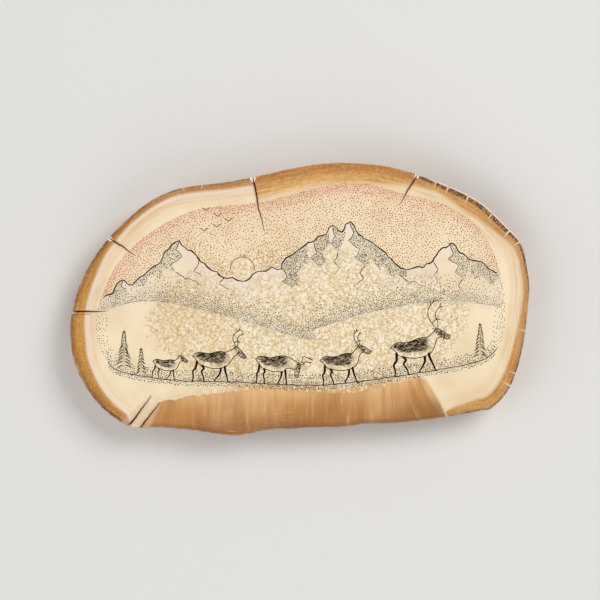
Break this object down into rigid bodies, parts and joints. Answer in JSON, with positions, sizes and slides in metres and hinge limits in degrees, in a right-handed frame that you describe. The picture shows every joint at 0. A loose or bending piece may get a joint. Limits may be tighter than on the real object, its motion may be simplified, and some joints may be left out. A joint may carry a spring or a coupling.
{
  "type": "scrimshaw ivory panel",
  "caption": "Flat, rounded slice of polished tusk with a brown rind and fine drying cracks, its face engraved with an inked picture of caribou below mountains.",
  "frame": {"origin": "middle of the box that the sawn back fills, on the underside", "axes": "+X to the right along the picture, the longest side; +Y up the picture; +Z out of the engraved face, the shortest side"},
  "size_m": [0.08, 0.0474, 0.007],
  "materials": {
    "ivory": "polished"
  },
  "bodies": {
    "root": {"ivory_panel": "ivory"}
  },
  "joints": []
}
